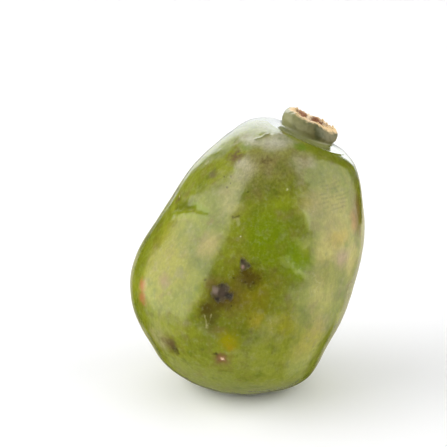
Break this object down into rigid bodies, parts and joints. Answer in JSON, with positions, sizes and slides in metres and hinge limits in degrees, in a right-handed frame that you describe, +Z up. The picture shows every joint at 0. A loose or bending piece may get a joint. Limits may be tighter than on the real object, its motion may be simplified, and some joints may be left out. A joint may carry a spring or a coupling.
{
  "type": "jocote",
  "caption": "Whole jocote fruit: a blunt, slightly lumpy green plum-like body with a low fleshy crown round its stem scar, resting at a lean on a small flat spot.",
  "frame": {"origin": "centre of the flat spot that the fruit rests on", "axes": "+Z up from the surface it rests on, +X the way that the fruit leans, +Y away from the side that shows the scars"},
  "size_m": [0.0359, 0.0321, 0.0435],
  "materials": {
    "fruit_skin": "waxy, glossy green skin mottled with olive and yellow-green, with grey-mauve bloom and brown scars"
  },
  "bodies": {
    "root": {"jocote": "fruit_skin"}
  },
  "joints": []
}
